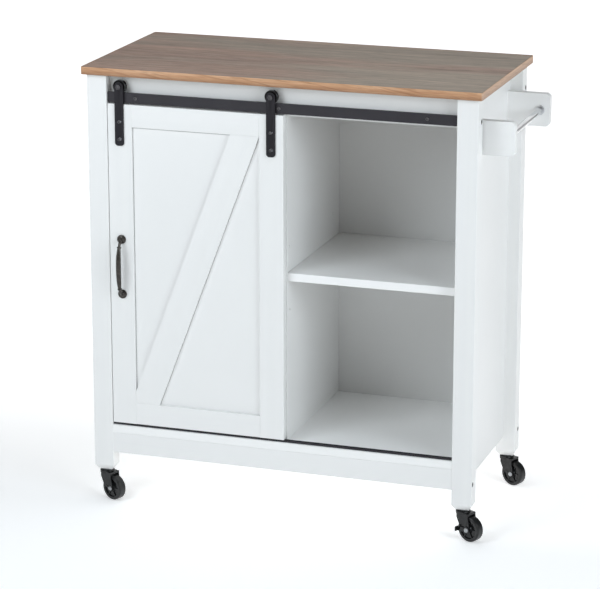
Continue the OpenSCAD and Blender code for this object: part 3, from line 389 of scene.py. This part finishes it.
# The wheel's hub gives way to its tread between these two radii, in metres.
TREAD_FROM, TREAD_TO = 0.0182, 0.0186
CHROME, CHROME_DIM = (0.74, 0.75, 0.76), (0.66, 0.67, 0.69)
POLISHED, SATIN = (0.07, 0.16), (0.34, 0.44)
ZINC = [(0.3, (0.42, 0.43, 0.45)), (0.6, (0.60, 0.61, 0.62)), (0.8, (0.72, 0.72, 0.70))]


def toned(colour, tone):
    return tuple(tone * v for v in colour)


def powder_coat(name, tone=1.0, gloss=0.5):
    """Black powder coat with a fine leathery texture and painted highlights on its grain. tone and gloss set
    how dark a piece looks.
    """
    t = Tree(bpy.data.materials.new(name))
    grain = t.noise(1500, detail=2, rough=0.5)
    cloud = t.noise(18, detail=3)
    colour = t.mix(t.grey(cloud, 0, 1, *MOST), toned(COAT_DEEP, tone), toned(COAT_PALE, tone))
    # Painted highlight: paler specks on the coat's grain.
    colour = t.mix(t.grey(grain, 0.0, 0.35, 0.6, 0.8), colour, toned(COAT_GLINT, tone))
    t.bump((cloud, 0.03, 0.001), (grain, 0.30, 0.00012))
    return t.finish(colour, t.grey(grain, 0.40, 0.55, *MOST), specular=gloss)


def black_oxide(name):
    """Blackened steel of bolts and screws: bright enough to catch the lights."""
    t = Tree(bpy.data.materials.new(name))
    turned = t.noise(1400, detail=3, rough=0.6)
    cloud = t.noise(210, detail=2)
    colour = t.mix(t.grey(cloud, 0, 1, *MOST), OXIDE_DEEP, OXIDE_PALE)
    t.bump((turned, 0.10, 0.0001))
    return t.finish(colour, t.grey(turned, 0.11, 0.20, *MOST), metallic=0.9)


def dark_bronze(name):
    """Brushed dark bronze under a thin lacquer: darker in the pits, warmer where hands polish it."""
    t = Tree(bpy.data.materials.new(name))
    mottle = t.noise(140, detail=4, rough=0.65)
    brush = t.noise((900, 900, 60), detail=3)
    colour = t.ramp(mottle, BRONZE)
    t.bump((mottle, 0.10, 0.0002), (brush, 0.06, 0.0001))
    return t.finish(colour, t.grey(brush, 0.22, 0.34, *MOST), metallic=0.75, coat=0.25, coat_rough=0.18)


def moulded(name):
    """Moulded black plastic with a fine spark-eroded surface."""
    t = Tree(bpy.data.materials.new(name))
    fine = t.noise(2400, detail=2)
    flow = t.noise((45, 45, 90), detail=3, distortion=0.8)
    colour = t.mix(t.grey(flow, 0, 1, *MOST), PLASTIC_DEEP, PLASTIC_PALE)
    t.bump((flow, 0.04, 0.0006), (fine, 0.18, 0.00008))
    return t.finish(colour, t.grey(flow, 0.13, 0.23, *MOST), specular=0.42)


def wheel_plastic(name, centre, axis):
    """One wheel: a half-gloss hub and a duller tread, told apart by the distance from the axle."""
    t = Tree(bpy.data.materials.new(name))
    offset = t.vector_math("SUBTRACT", t.coords.outputs["Object"], centre)
    radius = t.vector_math("LENGTH", t.vector_math("CROSS_PRODUCT", offset, axis))
    tread = t.grey(radius, 0, 1, TREAD_FROM, TREAD_TO)
    scuff = t.noise(160, detail=5, rough=0.7)
    fine = t.noise(2200, detail=2)
    hub = t.mix(t.grey(scuff, 0, 1, 0.35, 0.7), HUB_DEEP, HUB_PALE)
    rubber = t.mix(t.grey(scuff, 0, 1, 0.45, 0.75), TREAD_DEEP, TREAD_PALE)
    rough = t.math("ADD", t.grey(tread, 0.17, 0.30), t.grey(scuff, -0.03, 0.06, *MOST))
    t.bump((scuff, 0.08, 0.0003), (fine, 0.2, 0.00008))
    return t.finish(t.mix(tread, hub, rubber), rough, specular=0.42)


def chrome(name, rough):
    """Chrome with the faint marks of wiping round the rod. rough is its least and greatest roughness."""
    t = Tree(bpy.data.materials.new(name))
    wipe = t.noise((300, 2600, 300), detail=3, rough=0.6)
    haze = t.noise((60, 24, 60), detail=3)
    colour = t.mix(t.grey(haze, 0, 1, *MOST), CHROME, CHROME_DIM)
    t.bump((wipe, 0.02, 0.00005))
    return t.finish(colour, t.grey(haze, *rough, *MOST), metallic=1.0)


def zinc(name, tone=1.0):
    """Zinc plating. tone dims the whole colour evenly."""
    t = Tree(bpy.data.materials.new(name))
    spangle = t.noise(420, detail=4, rough=0.6)
    turned = t.noise((2600, 2600, 200), detail=2)
    colour = t.ramp(spangle, [(place, toned(shade, tone)) for place, shade in ZINC])
    t.bump((spangle, 0.08, 0.0001), (turned, 0.05, 0.00006))
    return t.finish(colour, t.grey(turned, 0.26, 0.42, *MOST), metallic=1.0)


# Painted shade on the door panel, partly its open joints and partly the shadow that the frame casts on it:
# along the left stile, under the top rail, and along the brace's right side.
# BRACE_FOOT is how far the brace's foot stands in from the right stile.
BRACE_FOOT = 0.049
SIDE_GAP, TOP_GAP = 0.0011, 0.0024
LEFT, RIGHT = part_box("door_stile_left")[1].x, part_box("door_stile_right")[0].x
BOTTOM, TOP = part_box("door_bottom_rail")[1].z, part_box("door_top_rail")[0].z
brace_lean = math.atan2(RIGHT - LEFT - BRACE_FOOT, TOP - BOTTOM)
brace_side = (math.cos(brace_lean), -math.sin(brace_lean))
panel_gap_shadows = (((LEFT, 0), (1, 0), SIDE_GAP, 0.95),
              ((0, TOP), (0, -1), TOP_GAP, 0.62),
              ((RIGHT, TOP), brace_side, SIDE_GAP, 0.75))

board = paint("white_board")
lit_shelf_board = paint("white_shelf_lit", bright=SHELF_LIT, dim=SHELF_LIT_DIM)
post = paint("white_post", grain=2)
plank_x = paint("white_plank", grain=0)
brace_paint = paint("white_brace", grain=2, turn=-brace_lean)
# The door panel's paint carries the painted shade along its joints.
panel_board = paint("white_panel", gap_shadows=panel_gap_shadows)
backing = raw_board("white_backing")
oak_face = oak_top("oak_weathered")
oak_edge = oak_strip("oak_edging")
beech_wood = beech("beech_dowel")
black_steel = powder_coat("black_powder_coat")
strap_steel = powder_coat("black_powder_coat_straps", tone=0.72, gloss=0.32)
bronze = dark_bronze("dark_bronze")
black_plastic = moulded("black_plastic")
chrome_rod = chrome("chrome_polished", POLISHED)
chrome_satin = chrome("chrome_satin", SATIN)
zinc_steel = zinc("zinc_plated")
dull_zinc = zinc("zinc_dull", tone=0.68)
oxide = black_oxide("black_oxide")

FINISH = {
    board: ["side_panel_left", "side_panel_right", "partition"],
    # The floor board and shelves take the whiter paint, as painted light.
    lit_shelf_board: ["floor_board", "open_shelf", "cupboard_shelf"],
    panel_board: ["door_panel"],
    post: ["leg_" + c for c in CORNERS] + ["door_stile_left", "door_stile_right"],
    plank_x: ["header_rail", "back_top_rail", "front_apron", "back_apron", "door_top_rail",
              "door_bottom_rail", "towel_bracket_front", "towel_bracket_back"],
    brace_paint: ["door_brace"],
    backing: ["back_panel"],
    oak_face: ["worktop"],
    oak_edge: ["worktop_edging"],
    beech_wood: ["wood_dowels"],
    black_steel: ["door_track", "track_spacers", "floor_guide", "guide_pins", "frame_screws"],
    strap_steel: ["hanger_strap_left", "hanger_strap_right"],
    oxide: ["track_bolts", "strap_screws", "roller_axles"],
    bronze: ["door_pull"],
    black_plastic: ["fork_" + c for c in CORNERS] + ["roller_left", "roller_right", "brake_front_right",
                                                     "brake_back_left"],
    chrome_rod: ["towel_rod"],
    chrome_satin: ["rod_collars"],
    zinc_steel: ["shelf_pins", "bracket_screws", "pull_screws", "stem_inserts", "caster_stems"],
    dull_zinc: ["axle_" + c for c in CORNERS],
}
for corner in CORNERS:
    roll = joints["roll_" + corner]
    FINISH[wheel_plastic("wheel_" + corner + "_plastic", roll["pos_m"], roll["axis"])] = ["wheel_" + corner]
for material, names in FINISH.items():
    for name in names:
        mesh = nodes[name].data
        mesh.materials.clear()
        mesh.materials.append(material)

# Softened edges of the worktop's edging, the towel brackets and the black hardware, with widths in metres.
EASED = {"worktop_edging": 0.0005, "towel_bracket_front": 0.0008, "towel_bracket_back": 0.0008,
         "hanger_strap_left": 0.0004, "hanger_strap_right": 0.0004, "door_track": 0.0004,
         **{"fork_" + c: 0.0005 for c in CORNERS}}
EASE_FROM_ANGLE = 40
WELD_DISTANCE = 0.00002


def soften(name, width):
    """Rounds a CAD node's sharp edges with modifiers. Its own vertices stay."""
    o = nodes[name]
    weld = o.modifiers.new("weld", "WELD")
    weld.merge_threshold = WELD_DISTANCE
    bevel = o.modifiers.new("ease", "BEVEL")
    bevel.width = width
    bevel.segments = 2
    bevel.limit_method = "ANGLE"
    bevel.angle_limit = math.radians(EASE_FROM_ANGLE)


# New pieces.
SMOOTH_BELOW_ANGLE = 35
SAME_POINT = 1e-7


def new_piece(name, bm, material, body):
    """Makes a smooth piece from a bmesh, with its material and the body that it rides."""
    mesh = bpy.data.meshes.new(name)
    bmesh.ops.remove_doubles(bm, verts=bm.verts, dist=SAME_POINT)
    bmesh.ops.recalc_face_normals(bm, faces=bm.faces)
    bm.to_mesh(mesh)
    bm.free()
    mesh.materials.append(material)
    mesh.polygons.foreach_set("use_smooth", [True] * len(mesh.polygons))
    mesh.set_sharp_from_angle(angle=math.radians(SMOOTH_BELOW_ANGLE))
    o = add_object(name, mesh)
    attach(o, body)
    return o


def basis(centre, z_axis, x_axis):
    """The matrix of a frame at centre, with its z and x axes along the two given directions."""
    z = Vector(z_axis).normalized()
    x = (Vector(x_axis) - z * Vector(x_axis).dot(z)).normalized()
    y = z.cross(x)
    m = Matrix((x, y, z)).transposed().to_4x4()
    m.translation = Vector(centre)
    return m


def lathe(bm, profile, matrix, steps):
    """Turns a list of (radius, height) in millimetres round the matrix's z axis. A closed list gives a ring,
    and an open one starts and ends on the axis."""
    closed = profile[0] == profile[-1]
    points = profile[:-1] if closed else profile
    angles = [2 * math.pi * k / steps for k in range(steps)]
    turns = []
    for r, h in points:
        r, h = r * MM, h * MM
        if r == 0:
            turns.append([bm.verts.new(matrix @ Vector((0, 0, h)))] * steps)
        else:
            ring = [Vector((r * math.cos(a), r * math.sin(a), h)) for a in angles]
            turns.append([bm.verts.new(matrix @ point) for point in ring])
    if closed:
        turns.append(turns[0])
    for one, two in zip(turns, turns[1:]):
        for k in range(steps):
            n = (k + 1) % steps
            corners = (one[k], one[n], two[n], two[k])
            bm.faces.new([v for i, v in enumerate(corners) if v not in corners[:i]])


# How many sides a turned piece has, when it is large and when it is small.
LARGE_SIDES, SMALL_SIDES = 48, 20

# The door pull: a bow between two round feet, thin at the necks, with a bead on each side of a full middle.
# Sizes are in millimetres, and places along the bow are angles from -90 to 90 degrees.
PULL = {"pitch": 110, "out": 19, "power": 0.8, "mid": 10, "end": 6.5, "bead": 9, "neck": 5.5, "bead_at": 45,
        "bead_half": 2.6, "flare": 0.9, "flare_over": 7, "last": 89.5}
BEAD_INNER, BEAD_OUTER = PULL["bead_at"] - PULL["bead_half"], PULL["bead_at"] + PULL["bead_half"]
MIDDLE_STEPS, BEAD_STEPS, NECK_STEPS = 14, 10, 16
PULL_SIDES = 32
# The bow's direction at a place is taken between two places this many degrees before and after it.
PULL_NEARBY = 0.3
PULL_FOOT = [(0, 0), (8.7, 0), (9, 0.3), (9, 1.5), (8.8, 2.0), (8.2, 2.3), (6.6, 2.6), (5.2, 3.0),
             (4.3, 3.6), (3.7, 4.5), (3.3, 5.6), (0, 6.2)]


def pull_spot(angle):
    """The bow's middle line: how far out of the door and how far up, in mm."""
    a = math.radians(angle)
    return Vector((-PULL["out"] * abs(math.cos(a)) ** PULL["power"],
                   PULL["pitch"] / 2 * math.copysign(abs(math.sin(a)) ** PULL["power"], angle)))


def pull_thickness(angle):
    """How thick the bow is, in mm."""
    a = abs(angle)
    if a >= BEAD_OUTER:
        return PULL["neck"] + PULL["flare"] * math.exp(-(90 - a) / PULL["flare_over"])
    if a <= BEAD_INNER:
        return PULL["end"] + (PULL["mid"] - PULL["end"]) * (1 - (a / BEAD_INNER) ** 2)
    share = (a - PULL["bead_at"]) / PULL["bead_half"]
    base = PULL["neck"] if share > 0 else PULL["end"]
    return base + (PULL["bead"] - base) * math.sqrt(max(1 - share * share, 0))


def pull_angles():
    """Where the bow has a ring of points: close together over the beads, wider elsewhere."""
    middle = [BEAD_INNER * k / MIDDLE_STEPS for k in range(MIDDLE_STEPS + 1)]
    turns = [math.pi * k / BEAD_STEPS for k in range(1, BEAD_STEPS)]
    bead = [PULL["bead_at"] - PULL["bead_half"] * math.cos(turn) for turn in turns]
    neck = [BEAD_OUTER + (PULL["last"] - BEAD_OUTER) * k / NECK_STEPS for k in range(NECK_STEPS + 1)]
    half = middle + bead + neck
    return [-a for a in reversed(half[1:])] + half


def make_pull():
    low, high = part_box("door_pull")
    middle = Vector(((low.x + high.x) / 2, high.y, (low.z + high.z) / 2))
    bm = bmesh.new()
    rings = []
    for angle in pull_angles():
        at = pull_spot(angle)
        before, after = max(angle - PULL_NEARBY, -90), min(angle + PULL_NEARBY, 90)
        way = (pull_spot(after) - pull_spot(before)).normalized()
        r = pull_thickness(angle) / 2
        ring = []
        for k in range(PULL_SIDES):
            t = 2 * math.pi * k / PULL_SIDES
            across = r * math.sin(t)
            offset = Vector((r * math.cos(t), at.x - across * way.y, at.y + across * way.x))
            ring.append(bm.verts.new(middle + offset * MM))
        rings.append(ring)
    for one, two in zip(rings, rings[1:]):
        for k in range(PULL_SIDES):
            n = (k + 1) % PULL_SIDES
            bm.faces.new((one[k], one[n], two[n], two[k]))
    bm.faces.new(rings[0][::-1])
    bm.faces.new(rings[-1])
    for side in (-1, 1):
        centre = middle + Vector((0, 0, side * PULL["pitch"] / 2 * MM))
        lathe(bm, PULL_FOOT, basis(centre, (0, -1, 0), (1, 0, 0)), LARGE_SIDES)
    pull = new_piece("pull_bow", bm, bronze, "door")
    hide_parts("door_pull")


# Small hardware. Profiles are (radius, height) in millimetres, and insets are in metres.
WASHER = [(2.8, -0.1), (6.6, -0.1), (6.6, 0.45), (6.3, 0.7), (2.8, 0.7), (2.8, -0.1)]
NAIL_HEAD = [(0, -0.2), (2.1, -0.2), (2.1, 0.1), (1.7, 0.45), (0.9, 0.62), (0, 0.66)]
SET_SCREW = [(0, 8.7), (0.7, 8.7), (0.9, 9.4), (1.4, 9.5), (1.5, 9.2), (1.5, 8.2), (0, 8.2)]
TRACK_BOLT_INSET = 0.058
SET_SCREW_INSET = 0.002
NAILS_UP_PARTITION = (0.12, 0.31, 0.5, 0.69, 0.88)
NAILS_ALONG_FLOOR = (0.06, 0.24, 0.42, 0.62, 0.8, 0.95)


def make_track_washers():
    """A washer under the head of each bolt that holds the track."""
    low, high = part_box("door_track")
    left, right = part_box("leg_front_left")[1].x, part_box("leg_front_right")[0].x
    bm = bmesh.new()
    for x in (left + TRACK_BOLT_INSET, (left + right) / 2, right - TRACK_BOLT_INSET):
        lathe(bm, WASHER, basis((x, low.y, (low.z + high.z) / 2), (0, -1, 0), (1, 0, 0)), LARGE_SIDES)
    new_piece("track_washers", bm, black_steel, "cabinet")


def make_back_nails():
    """Small round heads along the partition and the floor board. The photograph doesn't show the back."""
    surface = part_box("back_panel")[1].y
    low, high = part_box("partition")
    points = [((low.x + high.x) / 2, low.z + share * (high.z - low.z)) for share in NAILS_UP_PARTITION]
    low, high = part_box("floor_board")
    points += [(low.x + share * (high.x - low.x), (low.z + high.z) / 2) for share in NAILS_ALONG_FLOOR]
    bm = bmesh.new()
    for x, z in points:
        lathe(bm, NAIL_HEAD, basis((x, surface, z), (0, 1, 0), (1, 0, 0)), SMALL_SIDES)
    new_piece("back_nails", bm, zinc_steel, "cabinet")


def make_collar_screws():
    """A set screw in each of the rod's collars, on the underside."""
    rod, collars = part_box("towel_rod"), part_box("rod_collars")
    x, z = (rod[0].x + rod[1].x) / 2, (rod[0].z + rod[1].z) / 2
    bm = bmesh.new()
    for y in (collars[0].y + SET_SCREW_INSET, collars[1].y - SET_SCREW_INSET):
        lathe(bm, SET_SCREW, basis((x, y, z), (0.3, 0, -1), (0, 1, 0)), SMALL_SIDES)
    new_piece("collar_set_screws", bm, zinc_steel, "cabinet")


make_pull()
make_track_washers()
make_back_nails()
make_collar_screws()
for name, width in EASED.items():
    soften(name, width)

# Lights. Each is (name, azimuth, elevation, distance, size, power), in degrees, metres and watts.
LIGHT_COLOUR = (0.92, 1.0, 1.06)
LIGHT_AIM = Vector((0, 0, 0.45))
SOFTBOXES = (
    ("key_left", -28, 34, 2.2, 1.1, 15.2),
    ("low_left", -40, 14, 2.6, 1.2, 4.4),
    ("low_right", 60, 20, 2.8, 1.4, 24.0),
    ("side_right", 76, 24, 2.4, 1.1, 4.2),
    ("overhead", 0, 84, 2.4, 1.4, 9.4),
)


def make_softbox(name, azimuth, elevation, distance, size, power):
    """A round soft light that points at the object."""
    data = bpy.data.lights.new(name, "AREA")
    data.shape = "DISK"
    data.size = size
    data.energy = power
    data.color = LIGHT_COLOUR
    o = add_object(name, data)
    back = outward(azimuth, elevation)
    o.location = LIGHT_AIM + back * distance
    o.rotation_mode = "QUATERNION"
    o.rotation_quaternion = back.to_track_quat("Z", "Y")
    o.visible_camera = False


# World. Brightness of the sky overhead, of the pale wall round the horizon, of the lit backdrop behind the
# object and of the dim area past the backdrop's right end, which gives the chrome rod its darker line.
SKY, WALL, BACKDROP, PAST_END = 0.05, 0.30, 1.0, 0.12
# The directions between which the wall fades into the sky, by z, and the backdrop starts, by y, and ends, by
# x and y.
WALL_TOP, BACKDROP_START, END_X, END_Y = (0.16, 0.34), (0.80, 0.93), (0.27, 0.34), (0.72, 0.82)


def make_world():
    world = bpy.data.worlds.new("studio")
    bpy.context.scene.world = world
    t = Tree(world)
    way = t.split(t.coords.outputs["Generated"])
    wall = t.grey(way["Z"], WALL, SKY, *WALL_TOP, smooth=True)
    backdrop = t.grey(way["Y"], 0.0, BACKDROP, *BACKDROP_START, smooth=True)
    right = t.grey(way["X"], 0, 1, *END_X, smooth=True)
    behind = t.grey(way["Y"], 0, 1, *END_Y, smooth=True)
    past = t.math("MULTIPLY", right, behind)
    t.shader.inputs["Color"].default_value = (1, 1, 1, 1)
    t.feed(t.shader.inputs["Strength"], t.fade(t.math("MAXIMUM", wall, backdrop), PAST_END, past))


# Floor. Its own glow in front of the object, behind it, far off and past the right end of the backdrop.
GLOW_FRONT, GLOW_BACK, GLOW_FAR, GLOW_PAST = 0.35, 1.06, 0.46, 0.10
FLOOR_PALE, FLOOR_PALER = (0.93, 0.93, 0.93), (0.95, 0.95, 0.95)
FLOOR_HALF = 40
# Where the glow behind the object, by y, and the glow far off, by distance, start and are whole, in metres.
BACK_GLOW_OVER, FAR_GLOW_OVER = (-0.2, 0.9), (0.9, 2.6)
# The backdrop's end lies where x - END_SLOPE y and y - SIDE_SLOPE x pass these values in metres, and it grows
# with y, from END_NEAR to its whole strength.
END_SLOPE, END_OVER = 0.3, (0.02, 0.38)
SIDE_SLOPE, SIDE_OVER = 0.8, (0.0, 0.6)
END_NEAR, END_GROWS_OVER = 0.4, (1.8, 4.2)


def make_floor():
    """A white sweep that glows more behind the object and far off, as a lit studio does."""
    t = Tree(bpy.data.materials.new("studio_floor"))
    cloud = t.noise(0.6, detail=1)
    p = t.split(t.coords.outputs["Object"])
    near = t.grey(p["Y"], GLOW_FRONT, GLOW_BACK, *BACK_GLOW_OVER)
    reach = t.vector_math("LENGTH", t.coords.outputs["Object"])
    lit = t.math("MAXIMUM", near, t.grey(reach, 0.0, GLOW_FAR, *FAR_GLOW_OVER))
    right = t.grey(t.math("SUBTRACT", p["X"], t.math("MULTIPLY", p["Y"], END_SLOPE)), 0, 1, *END_OVER)
    behind = t.grey(t.math("SUBTRACT", p["Y"], t.math("MULTIPLY", p["X"], SIDE_SLOPE)), 0, 1, *SIDE_OVER)
    growth = t.grey(p["Y"], END_NEAR, 1.0, *END_GROWS_OVER)
    past = t.math("MULTIPLY", t.math("MULTIPLY", right, behind), growth)
    material = t.finish(t.mix(cloud, FLOOR_PALE, FLOOR_PALER), rough=0.7, specular=0.2)
    t.shader.inputs["Emission Color"].default_value = (1, 1, 1, 1)
    t.feed(t.shader.inputs["Emission Strength"], t.fade(lit, GLOW_PAST, past))
    bm = bmesh.new()
    bmesh.ops.create_grid(bm, x_segments=8, y_segments=8, size=FLOOR_HALF)
    mesh = bpy.data.meshes.new("studio_floor")
    bm.to_mesh(mesh)
    bm.free()
    mesh.materials.append(material)
    floor = add_object("studio_floor", mesh)


for softbox in SOFTBOXES:
    make_softbox(*softbox)
make_world()
make_floor()
bpy.context.scene.view_settings.view_transform = "Standard"
